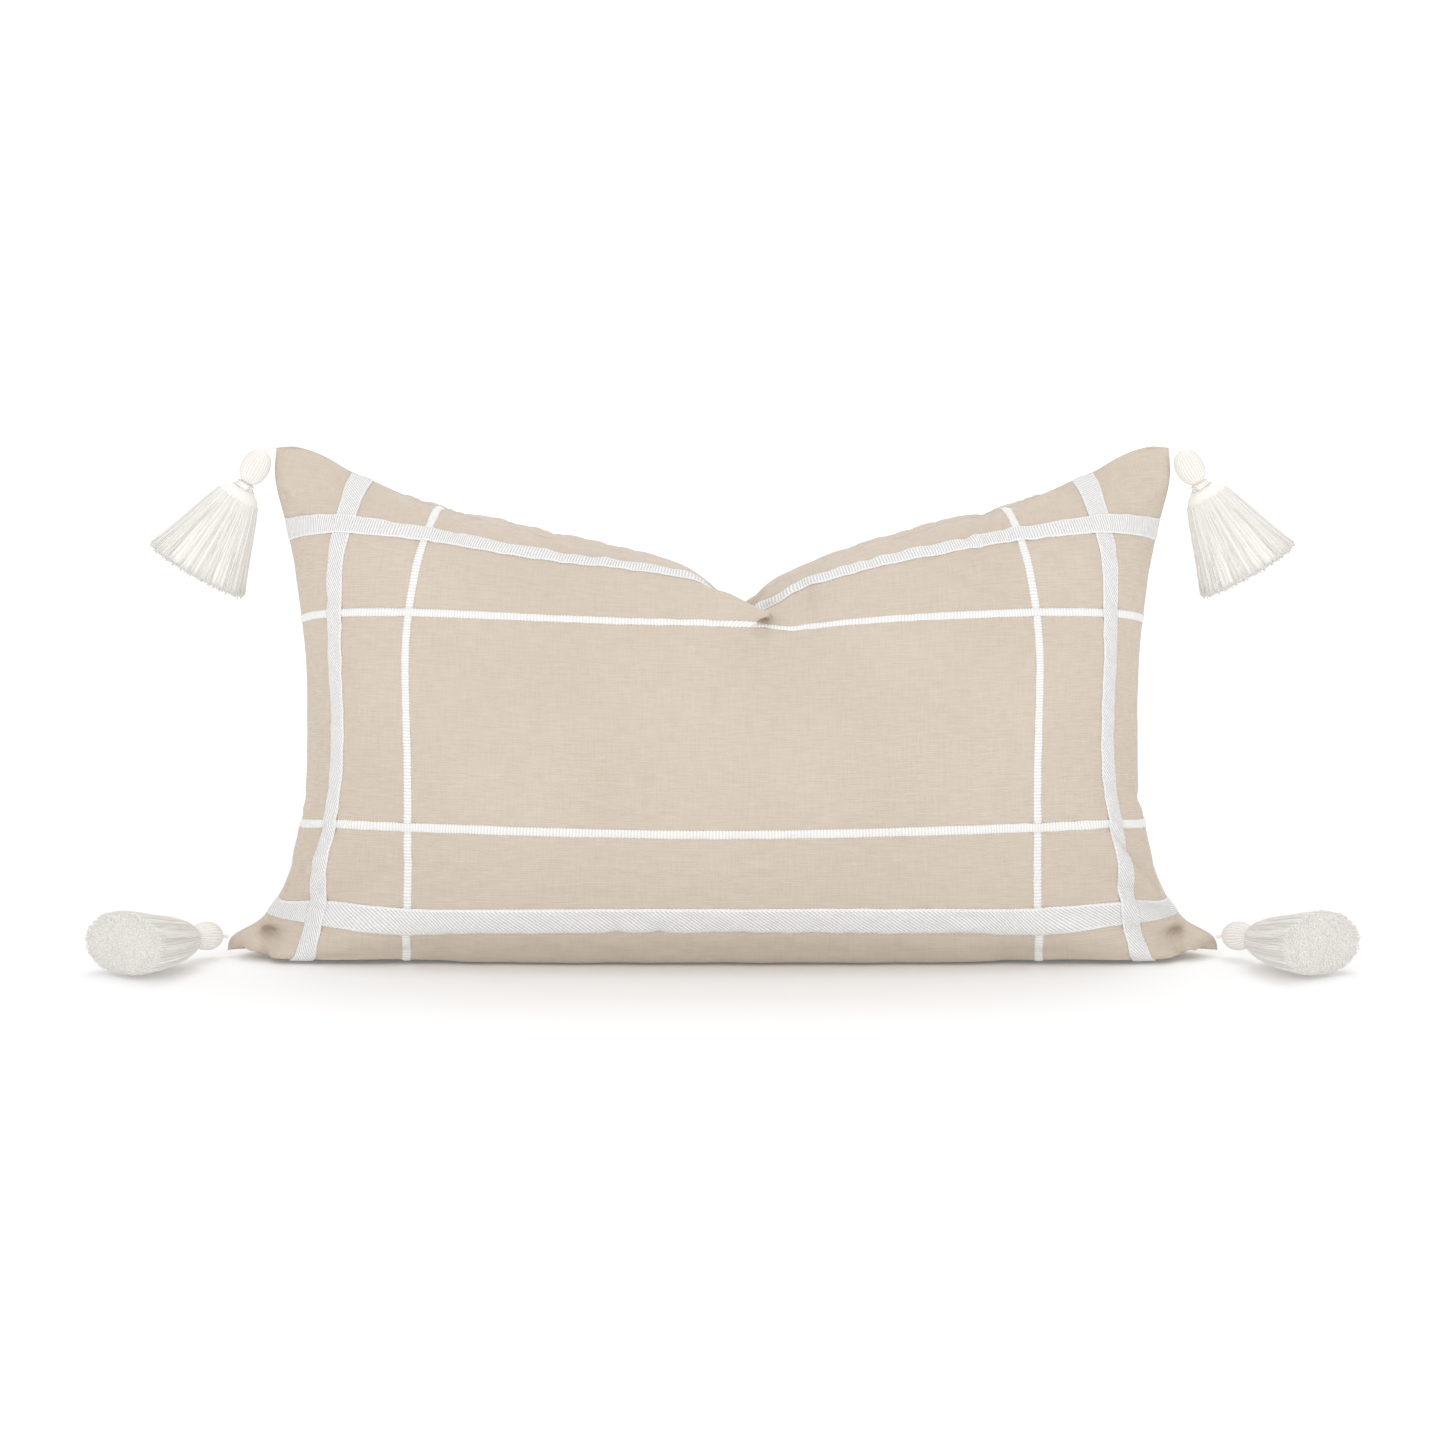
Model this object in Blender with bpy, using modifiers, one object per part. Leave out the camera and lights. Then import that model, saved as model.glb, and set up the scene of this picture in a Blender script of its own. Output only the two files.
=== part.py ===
"""A lumbar throw pillow: cover with sewn tapes, zip, insert and four corner tassels.

Metres, +Z up. The pillow stands on its long bottom side, its decorated front faces -Y, and the origin is at the
middle of what it stands on.
"""

import math

import bmesh
import bpy
import numpy as np
from mathutils import Matrix, Vector

# Driving dimensions, in metres
panel_width = 0.508
panel_height = 0.305
half_depth = 0.0735
clearance = 0.0003

cover_thickness = 0.0010
floor_band = 0.0008
ticking_thickness = 0.0006
insert_share, insert_extra_chop, insert_lowest = 0.955, 0.009, 0.0108
filling_share, filling_extra_chop, filling_lowest = 0.90, 0.018, 0.0125
stuffing_middle = 0.10

wide_tape_width = 0.012
wide_tape_inset = 0.049
wide_tape_thickness = 0.0008
narrow_line_width = 0.004
narrow_line_inset = 0.094
narrow_line_thickness = 0.0005
tape_end_margin = 0.003

zip_half_length = 0.190
zip_gap_half = 0.0070
chop_depth = 0.080
chop_half_width = 0.034

cord_radius = 0.0010
cord_to_head = 0.0009
top_cord_length = 0.0045
bottom_cord_length = 0.0024
head_radius = 0.0064
head_half_length = 0.0090
neck_radius = 0.0046
neck_length = 0.0040
skirt_length = 0.048

# The side seam's outline: height in the cloth, half width, height above the floor
side_seam = [(0.000, 0.249, 0.0085), (0.045, 0.2225, 0.034), (0.105, 0.2065, 0.085), (0.150, 0.204, 0.125),
             (0.200, 0.2065, 0.170), (0.255, 0.213, 0.215), (0.305, 0.220, 0.253)]
# The section at the middle: height in the cloth, share of the half depth, height above the floor
middle_section = [(0.000, 0.00, 0.0085), (0.012, 0.16, 0.0016), (0.030, 0.40, 0.0016), (0.049, 0.62, 0.019),
                  (0.094, 0.93, 0.068), (0.150, 1.00, 0.122), (0.211, 0.84, 0.172), (0.256, 0.52, 0.197),
                  (0.286, 0.22, 0.203), (0.305, 0.00, 0.203)]


def clear_scene():
    for old in list(bpy.data.objects):
        bpy.data.objects.remove(old, do_unlink=True)


def add_collection(name):
    made = bpy.data.collections.new(name)
    bpy.context.scene.collection.children.link(made)
    return made


def principled(name, color, roughness, metallic=0.0):
    material = bpy.data.materials.new(name)
    material.use_nodes = True
    shader = material.node_tree.nodes["Principled BSDF"]
    shader.inputs["Base Color"].default_value = (*color, 1.0)
    shader.inputs["Roughness"].default_value = roughness
    shader.inputs["Metallic"].default_value = metallic
    return material


def through(points, column, at):
    """A smooth curve through one column of a list of points, read at a height in the cloth."""
    spots = np.array([point[0] for point in points])
    values = np.array([point[column] for point in points])
    slopes = np.gradient(values, spots)
    at = np.clip(at, spots[0], spots[-1])
    index = np.clip(np.searchsorted(spots, at, side="right") - 1, 0, len(spots) - 2)
    width = spots[index + 1] - spots[index]
    t = (at - spots[index]) / width
    rise, ease = 3 * t**2 - 2 * t**3, t * (1 - t)
    return (
        values[index] * (1 - rise) + values[index + 1] * rise
        + width * ease * ((1 - t) * slopes[index] - t * slopes[index + 1])
    )


def shape_point(u, v, chop=chop_depth):
    """Where a point of the front panel's cloth lies: u across it and v up it, from its bottom left corner."""
    across = 2 * u / panel_width - 1
    half_width = through(side_seam, 1, v)
    fullness = np.clip(np.sin(math.pi * v / panel_height), 0, 1) ** 0.5
    blunt = np.sin(1.4 * across) / math.sin(1.4)
    x = half_width * (across * (1 - fullness) + blunt * fullness)
    depth = half_depth * through(middle_section, 1, v) * np.clip(np.cos(math.pi * across / 2), 0, 1) ** 0.4
    upper = np.clip((v - 0.094) / 0.150, 0, 1)
    towards_middle = (1 - upper) * (1 - np.abs(across) ** 4) + upper * np.cos(math.pi * across / 2)
    z = through(side_seam, 2, v) * (1 - towards_middle) + through(middle_section, 2, v) * towards_middle
    dent = np.exp(-np.abs(x / chop_half_width) ** 1.3)
    sunk = np.clip((v - 0.225) / (panel_height - 0.225), 0, 1) ** 2.2
    z = z - chop * dent * sunk
    return x, depth, z


def cloth_columns():
    """The cloth's upright grid lines, with one along each edge of each tape."""
    half = [0, tape_end_margin, 0.012, 0.027]
    half += [wide_tape_inset - wide_tape_width / 2, wide_tape_inset + wide_tape_width / 2, 0.073]
    half += [narrow_line_inset - narrow_line_width / 2, narrow_line_inset + narrow_line_width / 2]
    half += [0.122, 0.152, 0.182, 0.208, 0.228, 0.242]
    return np.array(half + [panel_width / 2] + [panel_width - spot for spot in reversed(half)])


def cloth_rows():
    half = [0, tape_end_margin, 0.012, 0.021, 0.030]
    half += [wide_tape_inset - wide_tape_width / 2, wide_tape_inset + wide_tape_width / 2, 0.073]
    half += [narrow_line_inset - narrow_line_width / 2, narrow_line_inset + narrow_line_width / 2, 0.122]
    return np.array(half + [panel_height / 2] + [panel_height - spot for spot in reversed(half)])


def coarser(lines, least):
    """These grid lines without those that stand closer than this to the last one kept, from both ends inwards."""
    half = [lines[0]]
    for line in lines[: len(lines) // 2]:
        if line - half[-1] >= least and lines[len(lines) // 2] - line >= least / 2:
            half.append(line)
    return np.array(half + [lines[len(lines) // 2]] + [lines[-1] - line for line in reversed(half)])


def grid_normals(points):
    """Outward directions at the corners of a grid of points on the front panel."""
    along_rows = np.gradient(points, axis=1)
    along_columns = np.gradient(points, axis=0)
    normals = np.cross(along_rows, along_columns)
    return normals / np.maximum(np.linalg.norm(normals, axis=2, keepdims=True), 1e-12)


def zip_opening(u):
    """0 where the two panels are sewn together, 1 where the zip holds them apart."""
    x = np.abs(u - panel_width / 2)
    return np.clip((zip_half_length + 0.014 - x) / 0.014, 0, 1)


def cloth_grid(columns, rows, lift):
    """The front panel's surface on these grid lines, lifted outwards by an amount or by one for each corner."""
    u, v = np.meshgrid(columns, rows)
    x, depth, z = shape_point(u, v)
    points = np.stack([x, -depth, z], axis=2)
    points += grid_normals(points) * np.broadcast_to(lift, u.shape)[..., None]
    points[..., 1] -= zip_gap_half * zip_opening(u) * np.clip(1 - v / 0.030, 0, 1)
    points[..., 1] = np.minimum(points[..., 1], -clearance / 2)
    return points


def grid_mesh(name, points, columns, rows, turned=False):
    """An open surface on a grid of points, each cell cut along the diagonal that points to the panel's nearest corner.

    So every layer of cloth has the same facets, and no facet lies wholly in a seam.
    """
    mesh = bpy.data.meshes.new(name)
    surface = bmesh.new()
    corners = [[surface.verts.new(point) for point in line] for line in points]
    for j in range(len(rows) - 1):
        for i in range(len(columns) - 1):
            a, b = corners[j][i], corners[j][i + 1]
            c, d = corners[j + 1][i + 1], corners[j + 1][i]
            right = columns[i] + columns[i + 1] > panel_width
            high = rows[j] + rows[j + 1] > panel_height
            halves = ((a, b, c), (a, c, d)) if right == high else ((a, b, d), (b, c, d))
            for face in halves:
                surface.faces.new(face[::-1] if turned else face)
    surface.to_mesh(mesh)
    surface.free()
    return mesh


def add_object(name, mesh, collection, material, smooth=True):
    made = bpy.data.objects.new(name, mesh)
    collection.objects.link(made)
    mesh.materials.clear()
    mesh.materials.append(material)
    if smooth:
        mesh.shade_smooth()
    return made


def thicken(made, thickness):
    solid = made.modifiers.new("thickness", "SOLIDIFY")
    solid.thickness = thickness
    solid.offset = 1.0
    solid.use_even_offset = True
    solid.thickness_clamp = 1.0


def settle(made, back):
    """Presses flat what lies on the floor, so that it rests on real flat faces, and keeps to its side of the seam."""
    graph = bpy.context.evaluated_depsgraph_get()
    mesh = bpy.data.meshes.new_from_object(made.evaluated_get(graph))
    made.modifiers.clear()
    made.data = mesh
    for vertex in mesh.vertices:
        if vertex.co.z < floor_band:
            vertex.co.z = 0.0
        if back:
            vertex.co.y = max(vertex.co.y, clearance / 2)
        else:
            vertex.co.y = min(vertex.co.y, -clearance / 2)


def add_panels(collection, name, material, columns, rows, points, thickness):
    """One panel of cloth at the front and its mirror image at the back."""
    for side, mirrored in (("front", False), ("back", True)):
        placed = points * (1, -1, 1) if mirrored else points
        mesh = grid_mesh(f"{name}_{side}", placed, columns, rows, mirrored)
        made = add_object(f"{name}_{side}", mesh, collection, material)
        thicken(made, thickness)
        settle(made, mirrored)


def inner_grid(columns, rows, share, extra_chop, lowest):
    """The pillow's own shape drawn in towards its middle, for what the cover holds."""
    u, v = np.meshgrid(columns, rows)
    x, depth, z = shape_point(u, v, chop_depth + extra_chop)
    z = np.maximum(stuffing_middle + (z - stuffing_middle) * share**1.6, lowest)
    return np.stack([x * share**1.6, -depth * share, z], axis=2)


def add_insert(collection, material, columns, rows):
    points = inner_grid(columns, rows, insert_share, insert_extra_chop, insert_lowest)
    points[..., 1] = np.minimum(points[..., 1], -clearance / 2)
    add_panels(collection, "insert", material, columns, rows, points, ticking_thickness)


def add_filling(collection, material, columns, rows):
    points = inner_grid(columns, rows, filling_share, filling_extra_chop, filling_lowest)
    points[1:-1, 1:-1, 1] = np.minimum(points[1:-1, 1:-1, 1], -0.002)
    points[[0, -1], :, 1] = 0.0
    points[:, [0, -1], 1] = 0.0
    made = add_object("insert_filling", grid_mesh("insert_filling", points, columns, rows), collection, material)
    mirror = made.modifiers.new("back half", "MIRROR")
    mirror.use_axis = (False, True, False)
    mirror.merge_threshold = 0.0001


def strip_lines(lines, low, high):
    """The grid lines between two places, both of which are grid lines themselves."""
    return lines[(lines > low - 1e-6) & (lines < high + 1e-6)]


def band(inset, width, length, from_end=False):
    """The two edges of a tape that lies this far from a side of the panel."""
    centre = length - inset if from_end else inset
    return centre - width / 2, centre + width / 2


def covers(lines, edges):
    return (lines > edges[0] - 1e-6) & (lines < edges[1] + 1e-6)


def add_tapes(collection, wide_material, narrow_material):
    """The sewn tapes, each on what it passes over. The narrow lines lie lowest and the top tape highest."""
    base = cover_thickness + clearance
    over_narrow = narrow_line_thickness + clearance
    over_wide = wide_tape_thickness + clearance
    columns = strip_lines(cloth_columns(), tape_end_margin, panel_width - tape_end_margin)
    rows = strip_lines(cloth_rows(), tape_end_margin, panel_height - tape_end_margin)
    wide_x = {side: band(wide_tape_inset, wide_tape_width, panel_width, side == "right") for side in ("left", "right")}
    wide_z = {side: band(wide_tape_inset, wide_tape_width, panel_height, side == "top") for side in ("bottom", "top")}
    line_x = {
        side: band(narrow_line_inset, narrow_line_width, panel_width, side == "right") for side in ("left", "right")
    }
    line_z = {
        side: band(narrow_line_inset, narrow_line_width, panel_height, side == "top") for side in ("bottom", "top")
    }

    def add(name, strip_columns, strip_rows, lift, thickness, material):
        points = cloth_grid(strip_columns, strip_rows, lift)
        made = add_object(name, grid_mesh(name, points, strip_columns, strip_rows), collection, material)
        thicken(made, thickness)
        return made

    def lifts(strip_columns, strip_rows, crossings):
        """The lift at each corner of a strip: its own, and more where it passes over another."""
        lift = np.full((len(strip_rows), len(strip_columns)), base)
        for column_edges, row_edges, amount in crossings:
            under = np.outer(covers(strip_rows, row_edges), covers(strip_columns, column_edges))
            lift[under] = np.maximum(lift[under], base + amount)
        return lift

    everywhere = (-1.0, 1.0)
    for side, edges in line_x.items():
        strip = strip_lines(columns, *edges)
        add(f"narrow_line_{side}", strip, rows, lifts(strip, rows, []), narrow_line_thickness, narrow_material)
    for side, edges in line_z.items():
        strip = strip_lines(rows, *edges)
        crossings = [(narrow, everywhere, over_narrow) for narrow in line_x.values()]
        lift = lifts(columns, strip, crossings)
        add(f"narrow_line_{side}", columns, strip, lift, narrow_line_thickness, narrow_material)
    narrow_crossings = [(narrow, everywhere, over_narrow) for narrow in line_x.values()]
    strip = strip_lines(rows, *wide_z["bottom"])
    add("tape_bottom", columns, strip, lifts(columns, strip, narrow_crossings), wide_tape_thickness, wide_material)
    for side, edges in wide_x.items():
        strip = strip_lines(columns, *edges)
        crossings = [(everywhere, narrow, over_narrow) for narrow in line_z.values()]
        crossings.append((everywhere, wide_z["bottom"], over_wide))
        add(f"tape_{side}", strip, rows, lifts(strip, rows, crossings), wide_tape_thickness, wide_material)
    strip = strip_lines(rows, *wide_z["top"])
    crossings = narrow_crossings + [(wide, everywhere, over_wide) for wide in wide_x.values()]
    add("tape_top", columns, strip, lifts(columns, strip, crossings), wide_tape_thickness, wide_material)


def add_box(collection, name, low, high, material, bevel=0.0):
    mesh = bpy.data.meshes.new(name)
    box = bmesh.new()
    size = Vector(high) - Vector(low)
    middle = (Vector(high) + Vector(low)) / 2
    bmesh.ops.create_cube(box, size=1.0, matrix=Matrix.Translation(middle) @ Matrix.Diagonal((*size, 1.0)))
    box.to_mesh(mesh)
    box.free()
    made = add_object(name, mesh, collection, material, smooth=False)
    if bevel:
        rounded = made.modifiers.new("rounded edges", "BEVEL")
        rounded.width = bevel
        rounded.segments = 2
    return made


def add_zip(collection, tape_material, metal_material):
    """A coil zip in the bottom seam. Its slider stands near the left end, where the zip is closed.

    The pull tab hinges on the slider at the tab's own left end.
    """
    reach = zip_half_length
    height = 0.0072
    coil_half_width, coil_half_height = 0.0014, 0.0011
    tape_inner, tape_outer = coil_half_width + 0.0004, zip_gap_half - 0.0032
    for side, sign in (("front", -1), ("back", 1)):
        inner, outer = sign * tape_inner, sign * tape_outer
        low_y, high_y = sorted((inner, outer))
        add_box(collection, f"zip_tape_{side}", (-reach, low_y, height - 0.0003), (reach, high_y, height + 0.0003),
                tape_material)
        low_y, high_y = sorted((sign * clearance / 2, sign * coil_half_width))
        low = (-reach, low_y, height - coil_half_height)
        add_box(collection, f"zip_coil_{side}", low, (reach, high_y, height + coil_half_height), tape_material)
    for side, sign in (("left", -1), ("right", 1)):
        ends = sorted((sign * (reach + clearance), sign * (reach + 0.0022)))
        add_box(collection, f"zip_stop_{side}", (ends[0], -0.0020, height - 0.0014), (ends[1], 0.0020, height + 0.0014),
                metal_material, bevel=0.0003)
    slider_x = -reach + 0.010
    plate_top = height - coil_half_height - clearance
    add_box(collection, "zip_slider", (slider_x - 0.0055, -0.0034, plate_top - 0.0010),
            (slider_x + 0.0055, 0.0034, plate_top), metal_material, bevel=0.0003)
    hinge = Vector((slider_x - 0.0030, 0, plate_top - 0.0019))
    add_box(collection, "zip_pull", hinge - Vector((0.0006, 0.0022, 0.0006)), hinge + Vector((0.0210, 0.0022, 0.0006)),
            metal_material, bevel=0.0003)


def basis_along(direction, sideways):
    """A turn that takes -Z to a direction and keeps Y as near as it can to the given one."""
    z = -direction.normalized()
    x = sideways.cross(z).normalized()
    return Matrix((x, z.cross(x), z)).transposed().to_4x4()


def turned_solid(collection, name, profile, steps, material, placing, squeeze=(1, 1)):
    """A closed turned shape. Its profile is (radius, height) from the bottom of the axis to the top."""
    mesh = bpy.data.meshes.new(name)
    outline = bmesh.new()
    points = [outline.verts.new((radius, 0, height)) for radius, height in reversed(profile)]
    for a, b in zip(points, points[1:]):
        outline.edges.new((a, b))
    geometry = list(outline.verts) + list(outline.edges)
    bmesh.ops.spin(outline, geom=geometry, angle=math.tau, steps=steps, axis=(0, 0, 1), cent=(0, 0, 0))
    bmesh.ops.remove_doubles(outline, verts=outline.verts, dist=1e-6)
    bmesh.ops.recalc_face_normals(outline, faces=outline.faces)
    bmesh.ops.scale(outline, vec=(squeeze[0], squeeze[1], 1), verts=outline.verts)
    bmesh.ops.transform(outline, matrix=placing, verts=outline.verts)
    outline.to_mesh(mesh)
    outline.free()
    return add_object(name, mesh, collection, material)


def add_cord(collection, name, points, radius, material):
    curve = bpy.data.curves.new(name, "CURVE")
    curve.dimensions = "3D"
    curve.bevel_depth = radius
    curve.bevel_resolution = 2
    curve.use_fill_caps = True
    spline = curve.splines.new("POLY")
    spline.points.add(len(points) - 1)
    for spot, point in zip(spline.points, points):
        spot.co = (*point, 1)
    made = bpy.data.objects.new(name, curve)
    collection.objects.link(made)
    curve.materials.append(material)
    return made


def add_tassel(collection, name, corner, cord_way, cord_length, lean, material, end_radius, flat_way, flatten):
    """A short cord out from the corner, then head, neck and skirt, one below another along a line that leans.

    The cord starts at the corner, where the tassel's first hinge is, and its second hinge is at the cord's middle.
    """
    direction = Vector(lean).normalized()
    start = Vector(corner)
    along_cord = Vector(cord_way).normalized()
    turn = basis_along(direction, Vector(flat_way))
    add_cord(collection, f"{name}_cord", [start, start + along_cord * cord_length], cord_radius, material)

    head_top = start + along_cord * cord_length + direction * cord_to_head
    head_centre = head_top + direction * head_half_length
    arc = [math.pi * k / 8 for k in range(9)]
    ball = [(head_radius * math.sin(angle), -head_half_length * math.cos(angle)) for angle in arc]
    ball[0], ball[-1] = (0, ball[0][1]), (0, ball[-1][1])
    turned_solid(collection, f"{name}_head", ball, 12, material, Matrix.Translation(head_centre) @ turn)

    neck_top = head_centre + direction * (head_half_length + clearance)
    neck = [(0, -neck_length), (neck_radius * 0.9, -neck_length), (neck_radius, -neck_length / 2),
            (neck_radius * 0.9, 0), (0, 0)]
    turned_solid(collection, f"{name}_neck", neck, 12, material, Matrix.Translation(neck_top) @ turn)

    skirt_top = neck_top + direction * (neck_length + clearance)
    steps = 6
    skirt = [(0, -skirt_length)]
    for k in range(steps + 1):
        share = 1 - k / steps
        radius = neck_radius * 0.85 + (end_radius - neck_radius * 0.85) * share**0.8
        skirt.append((radius, -skirt_length * share))
    skirt.append((0, 0))
    turned_solid(collection, f"{name}_skirt", skirt, 14, material, Matrix.Translation(skirt_top) @ turn,
                 squeeze=(1, flatten))


def main():
    clear_scene()
    parts = add_collection("throw_pillow")
    canvas = principled("cover_canvas", (0.66, 0.58, 0.48), 0.9)
    tape = principled("tape_cotton", (0.80, 0.78, 0.76), 0.85)
    satin = principled("satin_thread", (0.88, 0.88, 0.87), 0.6)
    yarn = principled("tassel_yarn", (0.85, 0.83, 0.80), 0.85)
    ticking = principled("ticking", (0.85, 0.85, 0.85), 0.9)
    fibre = principled("fibre_filling", (0.92, 0.92, 0.92), 1.0)
    zip_cloth = principled("zip_tape", (0.62, 0.55, 0.46), 0.8)
    zip_metal = principled("zip_metal", (0.55, 0.53, 0.50), 0.35, 1.0)

    columns, rows = cloth_columns(), cloth_rows()
    add_panels(parts, "cover", canvas, columns, rows, cloth_grid(columns, rows, 0.0), cover_thickness)
    columns, rows = coarser(columns, 0.019), coarser(rows, 0.018)
    add_insert(parts, ticking, columns, rows)
    add_filling(parts, fibre, columns, rows)
    add_tapes(parts, tape, satin)
    add_zip(parts, zip_cloth, zip_metal)

    for side, sign in (("left", -1), ("right", 1)):
        add_tassel(parts, f"tassel_top_{side}", (sign * 0.2226, 0, 0.2572), (sign * 0.944, 0, -0.329),
                   top_cord_length, (sign * 0.50, 0, -0.866), yarn, end_radius=0.0255, flat_way=(0, 1, 0), flatten=0.78)
        add_tassel(parts, f"tassel_bottom_{side}", (sign * 0.2504, 0, 0.0100), (sign * 1.0, 0, 0.15),
                   bottom_cord_length, (sign * 0.615, -0.777, 0.136), yarn, end_radius=0.0255, flat_way=(0, 0, 1),
                   flatten=0.70)


main()
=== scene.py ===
import math

import bpy
import numpy as np
from mathutils import Matrix, Vector


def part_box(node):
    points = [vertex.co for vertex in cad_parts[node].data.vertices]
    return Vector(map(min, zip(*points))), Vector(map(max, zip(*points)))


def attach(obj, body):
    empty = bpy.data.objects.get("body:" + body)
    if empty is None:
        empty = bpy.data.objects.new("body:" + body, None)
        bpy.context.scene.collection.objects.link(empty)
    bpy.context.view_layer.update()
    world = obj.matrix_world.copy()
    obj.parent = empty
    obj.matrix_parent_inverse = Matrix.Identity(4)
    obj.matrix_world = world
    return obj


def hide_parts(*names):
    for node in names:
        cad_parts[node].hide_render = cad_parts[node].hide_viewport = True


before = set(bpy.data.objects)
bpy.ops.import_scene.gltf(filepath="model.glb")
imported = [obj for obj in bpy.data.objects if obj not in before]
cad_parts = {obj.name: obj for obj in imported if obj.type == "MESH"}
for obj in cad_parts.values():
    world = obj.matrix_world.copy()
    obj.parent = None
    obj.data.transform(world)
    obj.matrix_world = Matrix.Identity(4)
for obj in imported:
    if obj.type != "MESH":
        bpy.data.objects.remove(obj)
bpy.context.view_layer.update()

print("frame loaded:", len(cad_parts), "nodes")
bpy.ops.object.select_all(action="DESELECT")


# shader expressions: a wire holds one socket, and sums on wires add their nodes
class Wire:
    def __init__(self, tree, socket=None):
        self.tree = tree
        self.socket = socket

    def node(self, kind, settings=(), inputs=(), output=0):
        made = self.tree.nodes.new("ShaderNode" + kind)
        for name, value in dict(settings).items():
            if name == "stops":
                for spot, colour in value[len(made.color_ramp.elements):]:
                    made.color_ramp.elements.new(spot)
                for stop, (spot, colour) in zip(made.color_ramp.elements, value):
                    stop.position = spot
                    stop.color = (*colour, 1)
            else:
                setattr(made, name, value)
        for name, value in dict(inputs).items():
            if isinstance(value, Wire):
                self.tree.links.new(value.socket, made.inputs[name])
            else:
                made.inputs[name].default_value = value
        return Wire(self.tree, made.outputs[output])

    def maths(self, operation, *values):
        return self.node("Math", {"operation": operation}, enumerate(values))

    def __add__(self, other):
        return self.maths("ADD", self, other)

    __radd__ = __add__

    def __sub__(self, other):
        return self.maths("SUBTRACT", self, other)

    def __rsub__(self, other):
        return self.maths("SUBTRACT", other, self)

    def __mul__(self, other):
        return self.maths("MULTIPLY", self, other)

    __rmul__ = __mul__

    def __truediv__(self, other):
        return self.maths("DIVIDE", self, other)

    def wave(self):
        return self.maths("SINE", self * math.tau)

    def size(self):
        return self.maths("ABSOLUTE", self)

    def between(self, low, high):
        settings = {"clamp": True, "interpolation_type": "SMOOTHSTEP"}
        return self.node("MapRange", settings, {"Value": self, "From Min": low, "From Max": high})

    def mix(self, first, second):
        settings = {"data_type": "RGBA", "clamp_factor": True}
        return self.node("Mix", settings, {0: self, 6: first, 7: second}, 2)

    def noise(self, where, scale, detail=3.0):
        return self.node("TexNoise", {}, {"Vector": where, "Scale": scale, "Detail": detail})


def tone(red, green, blue, share=1.0):
    return tuple(((c / 255 + 0.055) / 1.055) ** 2.4 * share for c in (red, green, blue)) + (1.0,)


def makeMaterial(name, finish, build):
    made = bpy.data.materials.new(name)
    made.use_nodes = True
    tree = made.node_tree
    shader = tree.nodes["Principled BSDF"]
    for socket, value in finish.items():
        shader.inputs[socket].default_value = value
    start = Wire(tree)
    for socket, value in build(start).items():
        if socket == "Bump":
            height, distance, strength = value
            inputs = {"Height": height, "Distance": distance, "Strength": strength}
            value, socket = start.node("Bump", {}, inputs), "Normal"
        tree.links.new(value.socket, shader.inputs[socket])
    return made


def acrossCloth(start):
    where = start.node("UVMap", {"uv_map": "cloth"})
    parts = where.node("SeparateXYZ", {}, {0: where})
    second = Wire(start.tree, parts.socket.node.outputs[1])
    return where, parts, second


def stretched(start, where, along, up):
    return start.node("Mapping", {}, {"Vector": where, "Scale": (along, up, 1.0)})


# finishes
fabrics = {
    "ribPitch": 0.0012,
    "yarnPitch": 0.00082,
    "tapeRib": 0.00145,
    "twillPitch": 0.0022,
    "stitchPitch": 0.0016,
    "finePitch": 0.0007,
    "plyPitch": 0.0011,
    "tickingPitch": 0.0006,
    "tapeHalf": 0.006,
    "selvedge": (0.0047, 0.0056),
}


def canvasLook(start):
    where, along, up = acrossCloth(start)
    wander = start.noise(stretched(start, where, 60, 60), 1.0, 2.0)
    slub = start.noise(stretched(start, where, 90, 900), 1.0, 2.0)
    upright = start.noise(stretched(start, where, 1100, 70), 1.0, 2.0)
    rib = (up / fabrics["ribPitch"] + wander * 0.6).wave()
    yarn = (along / fabrics["yarnPitch"] + wander * 0.5).wave()
    weave = 0.5 + 0.32 * rib + 0.18 * rib * yarn + 0.12 * yarn
    thread = (slub - 0.5) * 0.65 + (upright - 0.5) * 0.45
    cloudy = start.noise(stretched(start, where, 14, 14), 1.0, 2.0)
    shade = weave * 0.26 + thread * 0.90 + (cloudy - 0.5) * 0.30 + 0.46
    colour = shade.mix(tone(186, 170, 150), tone(218, 206, 193))
    return {"Base Color": colour, "Roughness": 0.86 + thread * 0.1,
            "Bump": (weave + thread, 0.00022, 0.55)}


def tapeLook(twill):
    def build(start):
        where, along, across = acrossCloth(start)
        fuzz = start.noise(stretched(start, where, 1500, 400), 1.0, 3.0)
        if twill:
            ribs = ((along + across * 1.35) / fabrics["twillPitch"]).wave()
        else:
            ribs = (along / fabrics["tapeRib"] + (fuzz - 0.5) * 0.2).wave()
        fine = (across / fabrics["finePitch"]).wave()
        edge = (across - fabrics["tapeHalf"]).size().between(*fabrics["selvedge"])
        weave = 0.5 + 0.34 * ribs + 0.08 * fine
        shade = weave * 1.50 + (fuzz - 0.5) * 0.9 - 0.22 + edge * 0.9
        colour = shade.mix(tone(204, 202, 202), tone(246, 246, 245))
        return {"Base Color": colour, "Roughness": 0.80 - edge * 0.2,
                "Bump": (weave + fuzz * 0.4, 0.0004, 0.8)}
    return build


def satinLook(start):
    where, along, across = acrossCloth(start)
    strands = start.noise(stretched(start, where, 5200, 500), 1.0, 2.0)
    stitch = (along / fabrics["stitchPitch"]).wave()
    # the stitch wave makes the thread lighter on each stitch and darker between them: painted shade in the
    # gaps between stitches, laid over the real scallops
    shade = 0.62 + (strands - 0.5) * 1.1 + 0.26 * stitch
    colour = shade.mix(tone(206, 205, 203), tone(248, 248, 246))
    return {"Base Color": colour, "Roughness": 0.52 + (strands - 0.5) * 0.3,
            "Bump": (strands + stitch * 0.3, 0.00018, 0.5)}


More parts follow.
